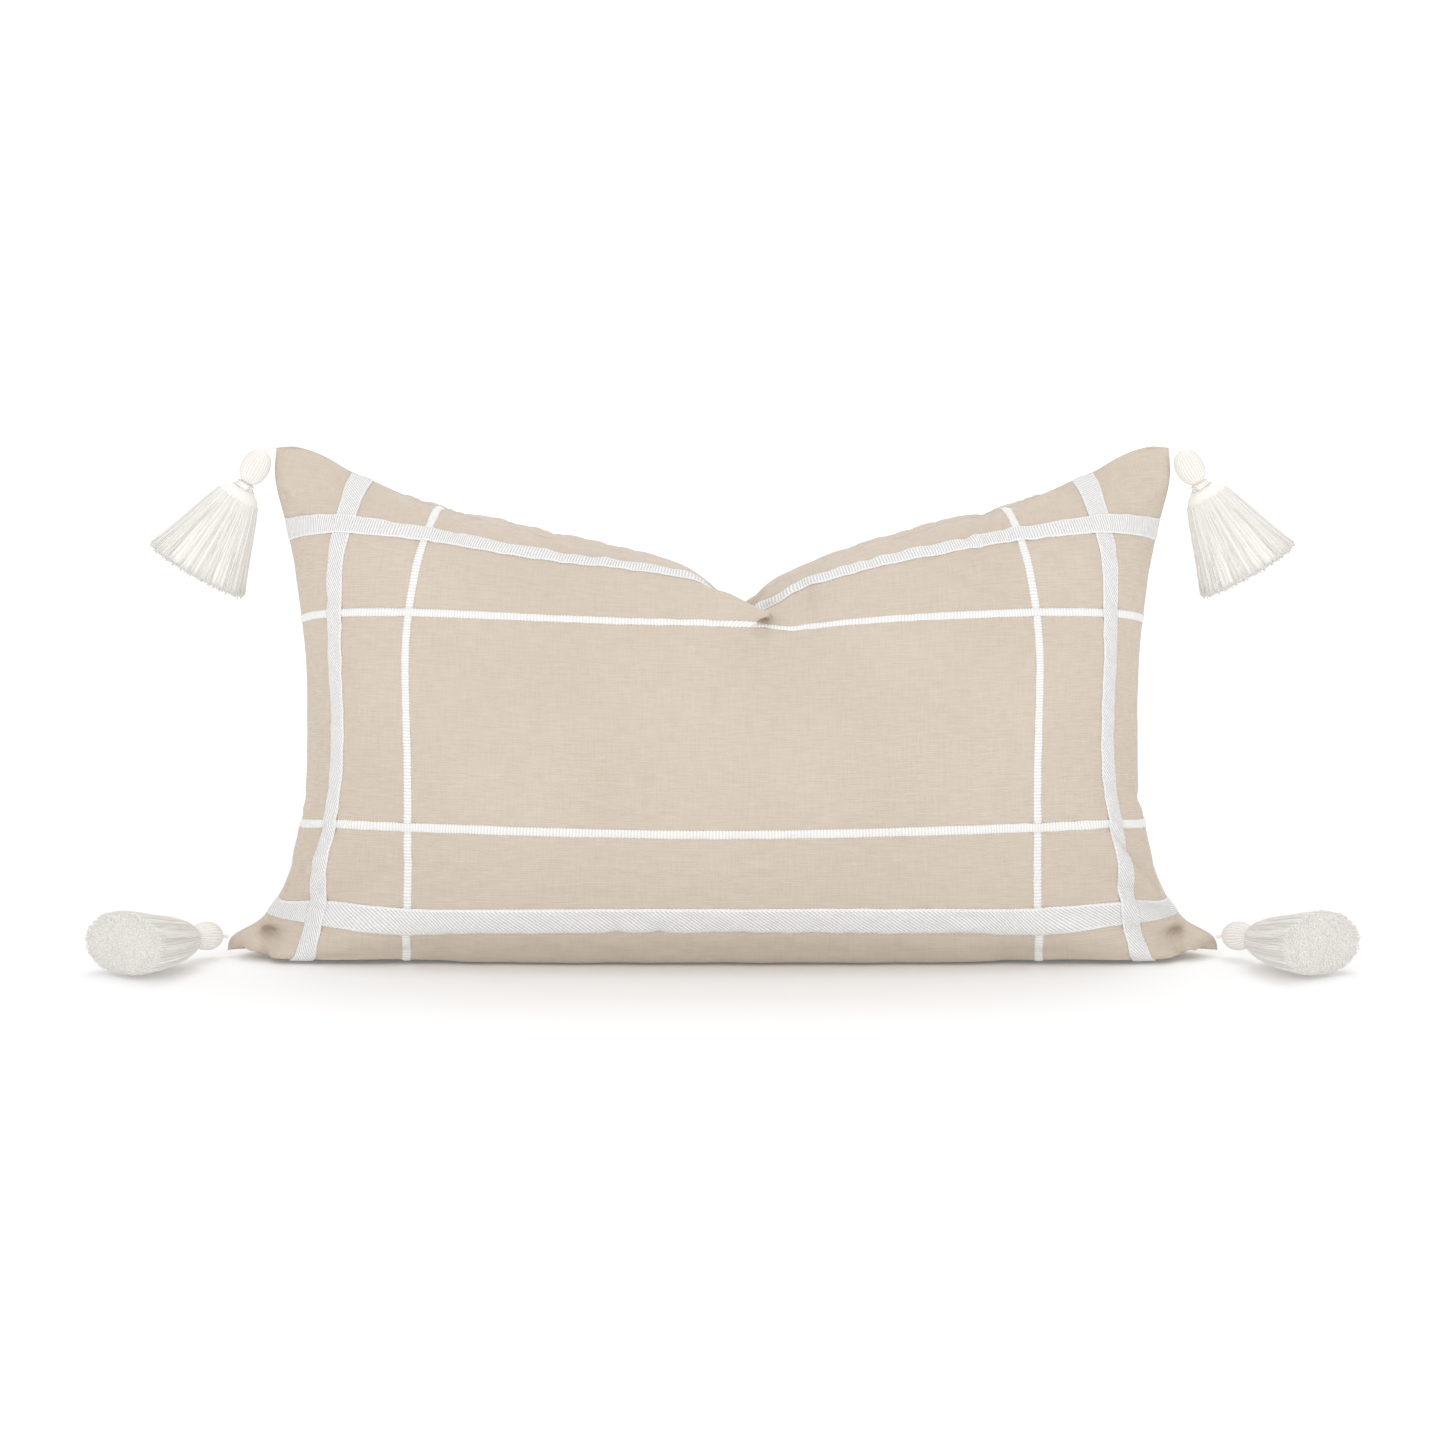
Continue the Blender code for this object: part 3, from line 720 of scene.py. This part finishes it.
def trimStrip(name, node, upright, place, wide, thick, layers, material, stitched=False):
    whole = cover["clothHigh"] if upright else cover["clothWide"]
    step = trims["stitchStep"] if stitched else trims["step"]
    s = np.linspace(trims["endGap"], whole - trims["endGap"], int(whole / step) + 1)
    t = np.linspace(-0.5, 0.5, 7 if stitched else 9)
    s, t = np.meshgrid(s, t)
    halfWide = wide / 2
    if stitched:
        stitch = 0.5 + 0.5 * np.sin(s * math.tau / fabrics["stitchPitch"])
        reach = halfWide * (1 + trims["stitchRise"] * (stitch - 0.5) * (np.abs(t) > 0.4))
        crown = np.sqrt(np.clip(1 - (2 * t) ** 2 * 0.85, 0, 1)) * (0.80 + 0.20 * stitch)
    else:
        loop = np.arange(s.shape[1])[None, :] % 2
        reach = halfWide * (1 + trims["loopRise"] * (loop - 0.5) * (np.abs(t) > 0.4))
        crown = 0.86 + 0.14 * (1 - np.abs(2 * t) ** 4) + 0.10 * bell(np.abs(2 * t) - 0.86, 0.08)
    aside = 2 * t * reach
    u, v = (place + aside, s) if upright else (s, place + aside)
    lift = thick * crown
    under = trims["under"] + 0 * s
    for crossingPlace, crossingHalf, height in layers:
        hop = over(s - crossingPlace, crossingHalf) * height
        lift = lift + hop
        under = under + hop
    points, normal = clothPoint(u, v, -1), clothNormal(u, v, -1)
    outer = points + normal * lift[..., None]
    inner = points + normal * under[..., None]
    rows, columns = s.shape
    sides = edgeWalls(rows, columns)
    top, bottom = gridFaces(rows, columns, upright), gridFaces(rows, columns, not upright) + rows * columns
    if upright:
        sides = sides[:, ::-1]
    faces = np.concatenate([top, bottom, sides])
    strip = newMesh(name, np.concatenate([outer.reshape(-1, 3), inner.reshape(-1, 3)]), faces, material)
    uv = np.stack([s, (t + 0.5) * trims["wideWidth"]], -1).reshape(-1, 2)
    giveUV(strip, np.concatenate([uv, uv]))
    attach(strip, "pillow")
    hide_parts(node)
    return strip


wide, tall = cover["clothWide"], cover["clothHigh"]
a, b = trims["wideInset"], trims["narrowInset"]
halfWide, halfNarrow = trims["wideWidth"] / 2, trims["narrowWidth"] / 2
high, low = trims["wideThick"], trims["narrowThick"]
for side, place in (("left", b), ("right", wide - b)):
    trimStrip("threadLine_" + side, "narrow_line_" + side, True, place,
                            trims["narrowWidth"], low, [], satin, True)
for side, place in (("bottom", b), ("top", tall - b)):
    crossings = [(b, halfNarrow, low), (wide - b, halfNarrow, low)]
    trimStrip("threadLine_" + side, "narrow_line_" + side, False, place,
                            trims["narrowWidth"], low, crossings, satin, True)
crossings = [(b, halfNarrow, low), (wide - b, halfNarrow, low)]
trimStrip("tape_bottomWide", "tape_bottom", False, a, trims["wideWidth"], high, crossings,
                        tapeTwill)
for side, place in (("left", a), ("right", wide - a)):
    crossings = [(a, halfWide, high), (b, halfNarrow, low), (tall - b, halfNarrow, low)]
    trimStrip("tape_" + side + "Wide", "tape_" + side, True, place, trims["wideWidth"], high,
                            crossings, tapeTwill)
crossings = [(b, halfNarrow, low), (wide - b, halfNarrow, low),
             (a, halfWide, high), (wide - a, halfWide, high)]
trimStrip("tape_topWide", "tape_top", False, tall - a, trims["wideWidth"], high, crossings,
                        tapeRibbed)
print("tapes and thread lines laid")

# the insert that fills the cover, and the fibre in it
insert = {
    "share": 0.955,
    "lowest": 0.0110,
    "tall": 0.925,
    "filling": 0.90,
    "fillLowest": 0.0150,
    "fillTall": 0.88,
    "thin": 0.97,
    "chopWide": 0.034,
    "chopDrop": 0.006,
    "foldAt": 0.022,
    "foldWide": 0.040,
    "foldIn": 0.22,           # drawn in behind the folds and at the bottom corners
    "cornerIn": 0.11,
    "cornerHigh": 0.05,
}


def innerPad(name, share, lowest, tallShare, material, nodes, tuft):
    columns, rows = cover["cellsWide"], cover["cellsHigh"]
    front, back = pillowGrid(columns, rows, -1), pillowGrid(columns, rows, 1)
    points, faces, *_ = closedPillow(front, back)
    drop = bell(points[:, 0] - cover["chopAt"], insert["chopWide"], 1.3) * ramp(points[:, 2] - 0.12, 0.08)
    points[:, 0] *= share
    inFold = bell(points[:, 0] - insert["foldAt"], insert["foldWide"]) * ramp(points[:, 2] - 0.13, 0.04)
    points[:, 1] *= share * insert["thin"] * (1 - insert["foldIn"] * inFold)
    corner = ramp(insert["cornerHigh"] - points[:, 2], 0.03)
    points[:, 0] *= 1 - insert["cornerIn"] * corner * (np.abs(points[:, 0]) / halfBottom) ** 4
    points[:, 2] = lowest + points[:, 2] * tallShare - insert["chopDrop"] * drop
    points[:, 1] += tuft * np.sin(points[:, 0] * 95) * np.sin(points[:, 2] * 120) * np.sign(points[:, 1])
    pad = newMesh(name, points, faces, material)
    giveUV(pad, points[:, [0, 2]])
    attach(pad, "pillow")
    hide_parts(*nodes)


innerPad("insertCase", insert["share"], insert["lowest"], insert["tall"], ticking,
         ["insert_front", "insert_back"], 0.0)
innerPad("insertFilling", insert["filling"], insert["fillLowest"], insert["fillTall"], fibre,
         ["insert_filling"], 0.0012)
print("insert made")

# tassels: a stub of cord, a wrapped head, a bound neck and the cut skirt
tassel = {
    "strands": 4200,
    "strandRadius": 0.00037,
    "skirt": 0.048,
    "headHalf": 0.0092,
    "headRadius": 0.0069,
    "neckRadius": 0.0046,
    "neckLength": 0.0046,
    "wraps": 6,
    "cordRadius": 0.0010,
    "cordLength": 0.0060,
    "turn": 2.399963,         # the golden angle spreads the strands evenly
    "inner": 0.80,            # strands nearer the middle than this are only their ends
    "innerFrom": 0.84,
    "core": 0.955,
    "strays": 0.02,
    "grooves": 28,
    "seed": 11,
}
topSkirt = [(0.0, 0.0046), (0.05, 0.0086), (0.14, 0.0112), (0.35, 0.0152), (0.70, 0.0212), (1.0, 0.0268)]
lowSkirt = [(0.0, 0.0046), (0.05, 0.0095), (0.16, 0.0138), (0.40, 0.0195), (0.72, 0.0245), (1.0, 0.0268)]


skirts = {
    "top": {"profile": topSkirt, "flat": 0.78, "sag": 0.03, "ragged": 0.014, "cordWay": (-0.944, 0, -0.329)},
    "bottom": {"profile": lowSkirt, "flat": 0.70, "sag": 0.05, "ragged": 0.009, "cordWay": (-1.0, 0, 0.15)},
}
# a skirt at the floor drops a little and lies flat on it
settled = {"reach": 0.03, "drop": 0.14, "from": 0.004, "low": 0.0006}


def middle(node):
    lowest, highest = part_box(node)
    return (lowest + highest) / 2


def spread(values, shape):
    return np.broadcast_to(values, shape)


def ringFaces(index, turned=False):
    ring = [index[:-1], np.roll(index[:-1], -1, 1), np.roll(index[1:], -1, 1), index[1:]]
    if turned:
        ring = [ring[0], ring[3], ring[2], ring[1]]
    return np.stack(ring, -1).reshape(-1, 4).tolist()


def tubes(paths, radii, sides, shade):
    count, points = paths.shape[:2]
    ahead = np.gradient(paths, axis=1)
    ahead /= np.maximum(np.linalg.norm(ahead, axis=-1, keepdims=True), 1e-12)
    guide = np.where(np.abs(ahead[..., :1]) < 0.8, np.array([1.0, 0, 0]), np.array([0, 1.0, 0]))
    first = np.cross(ahead, guide)
    first /= np.maximum(np.linalg.norm(first, axis=-1, keepdims=True), 1e-12)
    second = np.cross(ahead, first)
    angle = np.arange(sides) * math.tau / sides
    ring = first[:, :, None] * np.cos(angle)[:, None] + second[:, :, None] * np.sin(angle)[:, None]
    verts = paths[:, :, None] + ring * radii[..., None, None]
    index = np.arange(count * points * sides).reshape(count, points, sides)
    here, there = index[:, :-1], index[:, 1:]
    quads = np.stack([here, np.roll(here, -1, 2), np.roll(there, -1, 2), there], -1).reshape(-1, 4)
    caps = [index[:, 0, ::-1], index[:, -1]]
    run = np.cumsum(np.linalg.norm(np.diff(paths, axis=1, prepend=paths[:, :1]), axis=-1), axis=1)
    uv = np.stack([spread(run[..., None], index.shape), spread(shade[:, None, None], index.shape)], -1)
    return verts.reshape(-1, 3), quads.tolist() + caps[0].tolist() + caps[1].tolist(), uv.reshape(-1, 2)


def yarnPiece(name, verts, faces, uv, place, turned, material=yarn):
    verts = verts @ np.array(place.to_3x3()).T + np.array(place.translation)
    if turned:
        faces = [face[::-1] for face in faces]
    piece = newMesh(name, verts, faces, material)
    giveUV(piece, uv)
    return piece


def skirtStrands(profile, flat, endSag, ragged):
    rng = np.random.default_rng(tassel["seed"])
    count = tassel["strands"]
    k = np.arange(count)
    ring = np.sqrt((k + 0.5) / count)
    angle = k * tassel["turn"] + rng.normal(0, 0.05, count)
    inner = ring < tassel["inner"]
    made = []
    for chosen, begin, points in ((~inner, 0.0, 8), (inner, tassel["innerFrom"], 3)):
        r, a = ring[chosen], angle[chosen]
        n = len(r)
        t = begin + (1 - begin) * np.linspace(0, 1, points)
        reach = tassel["skirt"] * (1 + rng.normal(0, ragged, n) + endSag * (1 - r**2))
        clump = 1 - 0.016 * np.abs(np.sin(a * 9 + 1.3 * np.sin(a * 2))) ** 3
        clump = clump - 0.012 * np.abs(np.sin(a * 23)) ** 2
        loose = 1 + rng.normal(0, 0.006, n)
        out = curveThrough(profile, 1, t)[None] * (r * clump * loose)[:, None]
        phase = rng.uniform(0, math.tau, n)
        sway = 0.00035 * t[None] ** 1.3 * np.sin(phase[:, None] + t[None] * rng.uniform(3, 7, n)[:, None])
        bent = a[:, None] + (sway + rng.normal(0, 0.0007, n)[:, None] * t[None] ** 2) / np.maximum(out, 0.003)
        stray = (rng.random(n) < tassel["strays"])[:, None] * 0.0016 * t[None] ** 3
        out = out + stray
        paths = np.stack([out * np.cos(bent), out * np.sin(bent) * flat, -t[None] * reach[:, None]], -1)
        radii = np.full((n, points), tassel["strandRadius"]) * (0.85 + 0.3 * rng.random(n))[:, None]
        made.append(tubes(paths, radii, 3, np.clip(0.55 + rng.normal(0, 0.28, n), 0, 1)))
    rows, around = 14, 96
    t = np.linspace(0, 1, rows)
    a = np.arange(around) * math.tau / around
    radii = curveThrough(profile, 1, t)[:, None] * (tassel["core"] + 0.008 * np.sin(a * 31)[None])
    down = -tassel["skirt"] * spread(t[:, None] * 0.985, radii.shape)
    side = np.stack([radii * np.cos(a), radii * np.sin(a) * flat, down], -1)
    domed = []
    for part in (0.9, 0.7, 0.45, 0.2):
        sunk = down[-1] - tassel["skirt"] * endSag * (1 - part**2)
        domed.append(np.stack([radii[-1] * part * np.cos(a), radii[-1] * part * np.sin(a) * flat, sunk], -1))
    rings = np.concatenate([side, np.array(domed)])
    index = np.arange(len(rings) * around).reshape(len(rings), around)
    core = ringFaces(index, True) + [index[0].tolist(), index[-1, ::-1].tolist()]
    coreUV = np.stack([rings[..., 2] * -1, spread(0.45 + 0 * a, rings.shape[:2])], -1).reshape(-1, 2)
    made.append((rings.reshape(-1, 3), core, coreUV))
    verts, faces, uv, shift = [], [], [], 0
    for form in made:
        verts.append(form[0])
        faces += [[i + shift for i in face] for face in form[1]]
        uv.append(form[2])
        shift += len(form[0])
    return np.concatenate(verts), faces, np.concatenate(uv)


def turnedForm(profile, around, grooves, depth):
    heights = np.array([p[0] for p in profile])
    radii = np.array([p[1] for p in profile])
    angle = np.arange(around) * math.tau / around
    groove = 1 + depth * (0.5 - np.abs(np.cos(angle * grooves / 2)) ** 4)
    r = radii[:, None] * np.where(radii[:, None] > 1e-5, groove[None], 1)
    verts = np.stack([r * np.cos(angle), r * np.sin(angle), spread(heights[:, None], r.shape)], -1)
    index = np.arange(len(profile) * around).reshape(len(profile), around)
    faces = ringFaces(index) + [index[0, ::-1].tolist(), index[-1].tolist()]
    # the colour follows the grooves, so the wrapped threads show as light and dark stripes: painted shade of
    # the grooves
    shade = 1.5 - 2.0 * (groove - groove.min()) / max(np.ptp(groove), 1e-9)
    uv = np.stack([spread(heights[:, None], r.shape), spread(shade, r.shape)], -1)
    return verts.reshape(-1, 3), faces, uv.reshape(-1, 2)


def headForm():
    bend = np.linspace(math.pi - 0.18, 0.18, 22)
    half, radius = tassel["headHalf"], tassel["headRadius"]
    profile = [(half * math.cos(p), radius * math.sin(p) ** 0.85) for p in bend]
    return turnedForm(profile, 6 * tassel["grooves"], tassel["grooves"], 0.10)


def neckWraps():
    turns, per = tassel["wraps"], 28
    t = np.linspace(0, 1, turns * per + 1)
    thread = tassel["neckLength"] / turns / 2
    angle = t * turns * math.tau
    radius = tassel["neckRadius"] - thread + 0.0003 * np.sin(angle * 0.5)
    height = (0.5 - t) * (tassel["neckLength"] - 2 * thread)
    path = np.stack([radius * np.cos(angle), radius * np.sin(angle), height], -1)
    wrap = tubes(path[None], np.full((1, len(t)), thread * 1.08), 8, np.array([0.55]))
    half = tassel["neckLength"] / 2
    core = turnedForm([(-half, 0.0036), (0, 0.0038), (half, 0.0036)], 24, 12, 0.02)
    shift = len(wrap[0])
    return (np.concatenate([wrap[0], core[0]]), wrap[1] + [[i + shift for i in f] for f in core[1]],
            np.concatenate([wrap[2], core[2]]))


def cordStub(length):
    rows, around = 25, 24
    t = np.linspace(-0.5, 0.5, rows)
    angle = np.arange(around) * math.tau / around
    twist = angle[None] + t[:, None] * 4.5
    r = tassel["cordRadius"] * (0.86 + 0.14 * np.abs(np.cos(1.5 * twist)))
    height = spread(t[:, None] * length, r.shape)
    verts = np.stack([r * np.cos(angle), r * np.sin(angle), height], -1)
    index = np.arange(rows * around).reshape(rows, around)
    faces = ringFaces(index) + [index[0, ::-1].tolist(), index[-1].tolist()]
    return verts.reshape(-1, 3), faces, np.stack([height, 0 * r + 0.5], -1).reshape(-1, 2)


def placing(centre, down, side):
    z = -down.normalized()
    upward = Vector((0, 1, 0)) if side == "top" else Vector((0, 0, 1))
    y = (upward - z * z.dot(upward)).normalized()
    x = y.cross(z)
    turn = Matrix((x, y, z)).transposed().to_4x4()
    return Matrix.Translation(centre) @ turn


heads, necks, stubs = headForm(), neckWraps(), cordStub(tassel["cordLength"])
for level, skirt in skirts.items():
    strands = skirtStrands(skirt["profile"], skirt["flat"], skirt["sag"], skirt["ragged"])
    left = "tassel_" + level + "_left"
    centre, neckAt = middle(left + "_head"), middle(left + "_neck")
    down = (neckAt - centre).normalized()
    neckEnd = neckAt - down * 0.0002
    cordWay = Vector(skirt["cordWay"])
    for side in ("left", "right"):
        body = "tassel_" + level + "_" + side
        mirror = Matrix.Diagonal((-1 if side == "right" else 1, 1, 1, 1))
        turned = side == "right"
        cordAt = middle(left + "_cord")
        plan = [("Skirt", strands, neckEnd, body, "_skirt"), ("Head", heads, centre, body, "_head"),
                ("Neck", necks, neckAt, body, "_neck"), ("Cord", stubs, cordAt, body + "_cord", "_cord")]
        for word, form, at, rides, node in plan:
            way = cordWay if word == "Cord" else down
            turn = mirror @ placing(at, way, level)
            piece = yarnPiece(level + side.capitalize() + word, *form, turn, turned)
            if word == "Skirt" and level == "bottom":
                places = np.empty(len(piece.data.vertices) * 3)
                piece.data.vertices.foreach_get("co", places)
                places = places.reshape(-1, 3)
                z = places[:, 2]
                hung = np.array(neckEnd if side == "left" else mirror @ neckEnd)
                fallen = ramp(np.linalg.norm(places - hung, axis=1), settled["reach"])
                z = z * (1 - settled["drop"] * fallen)
                start = settled["from"]
                laid = settled["low"] + 0.0034 * np.exp((z - start) / start)
                places[:, 2] = np.where(z < start, laid, z)
                piece.data.vertices.foreach_set("co", places.ravel())
            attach(piece, rides)
            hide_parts("tassel_" + level + "_" + side + node)
print("tassels tied")

# the zip in the bottom seam: two woven tapes, two nylon coils, the stops, the slider and its pull
zipper = {
    "coilWire": 0.00030,
    "pitch": 0.0012,
    "tapeStep": 0.0020,
    "rounding": 0.00035,
    "pullRim": 0.0011,
    "sliderRim": 0.0009,
    "sliderInset": 0.0002,
    "softEdge": 0.0002,
    "nose": 0.62,
}


def zipTape(side):
    lowest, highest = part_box("zip_tape_" + side)
    across, thick = highest.y - lowest.y, highest.z - lowest.z
    x, t = np.meshgrid(np.arange(lowest.x, highest.x, zipper["tapeStep"]), np.linspace(0, 1, 7))
    ripple = 0.00006 * np.sin(x * 900) * np.sin(math.pi * t)
    crown = 0.5 * thick * (0.7 + 0.3 * np.sin(math.pi * t))
    middleHeight = (lowest.z + highest.z) / 2 + ripple
    y = lowest.y + t * across
    layers = [np.stack([x, y, middleHeight + sign * crown], -1).reshape(-1, 3) for sign in (1, -1)]
    rows, columns = x.shape
    under = gridFaces(rows, columns, True) + rows * columns
    faces = np.concatenate([gridFaces(rows, columns), under, edgeWalls(rows, columns)])
    tape = newMesh("zipTape_" + side, np.concatenate(layers), faces, zipWoven)
    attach(tape, "pillow")
    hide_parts("zip_tape_" + side)


def zipCoil(side, sign):
    lowest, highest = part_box("zip_coil_" + side)
    wire = zipper["coilWire"]
    turns = int((highest.x - lowest.x) / zipper["pitch"])
    t = np.linspace(0, 1, turns * 8 + 1)
    angle = t * turns * math.tau
    reach = (highest.y - lowest.y) / 2 - wire
    height = (highest.z - lowest.z) / 2 - wire
    centre = (lowest + highest) / 2
    x = centre.x + (t * 2 - 1) * ((highest.x - lowest.x) / 2 - wire)
    path = np.stack([x, centre.y + sign * reach * np.cos(angle), centre.z + height * np.sin(angle)], -1)
    verts, faces, uv = tubes(path[None], np.full((1, len(t)), wire), 5, np.array([0.5]))
    coil = yarnPiece("zipCoil_" + side, verts, faces, uv, Matrix.Identity(4), False, zipNylon)
    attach(coil, "pillow")
    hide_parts("zip_coil_" + side)


def metalBlock(name, node):
    lowest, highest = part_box(node)
    bpy.ops.mesh.primitive_cube_add(size=1, location=(lowest + highest) / 2)
    block = bpy.context.object
    block.name = name
    block.scale = highest - lowest
    bpy.ops.object.transform_apply(location=True, rotation=True, scale=True)
    block.data.materials.append(zipMetal)
    return block


def chosenFaces(block, wanted):
    bpy.ops.object.mode_set(mode="EDIT")
    bpy.ops.mesh.select_mode(type="FACE")
    bpy.ops.mesh.select_all(action="DESELECT")
    bpy.ops.object.mode_set(mode="OBJECT")
    for face in block.data.polygons:
        face.select = wanted(face)
    bpy.ops.object.mode_set(mode="EDIT")


def rounded(block, width, rides, node):
    soften = block.modifiers.new("rounding", "BEVEL")
    soften.width = width
    soften.segments = 3
    soften.limit_method = "ANGLE"
    applyModifiers(block)
    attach(block, rides)
    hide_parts(node)


for side, sign in (("front", -1), ("back", 1)):
    zipTape(side)
    zipCoil(side, sign)
for end in ("left", "right"):
    stop = metalBlock("zipStop_" + end, "zip_stop_" + end)
    rounded(stop, zipper["rounding"], "pillow", "zip_stop_" + end)

slider = metalBlock("zipSlider", "zip_slider")
chosenFaces(slider, lambda face: face.normal.x > 0.9)
bpy.ops.transform.resize(value=(1, zipper["nose"], 1))
bpy.ops.object.mode_set(mode="OBJECT")
chosenFaces(slider, lambda face: face.normal.z < -0.9)
bpy.ops.mesh.inset(thickness=zipper["sliderRim"])
bpy.ops.transform.translate(value=(0, 0, zipper["sliderInset"]))
bpy.ops.object.mode_set(mode="OBJECT")
rounded(slider, zipper["softEdge"], "zip_slider", "zip_slider")

pull = metalBlock("zipPull", "zip_pull")
chosenFaces(pull, lambda face: abs(face.normal.z) > 0.9)
bpy.ops.mesh.inset(thickness=zipper["pullRim"])
bpy.ops.mesh.delete(type="FACE")
bpy.ops.mesh.select_mode(type="EDGE")
bpy.ops.mesh.select_non_manifold()
bpy.ops.mesh.bridge_edge_loops()
bpy.ops.mesh.select_all(action="SELECT")
bpy.ops.mesh.normals_make_consistent(inside=False)
bpy.ops.object.mode_set(mode="OBJECT")
rounded(pull, zipper["softEdge"], "zip_pull", "zip_pull")
print("zip made")
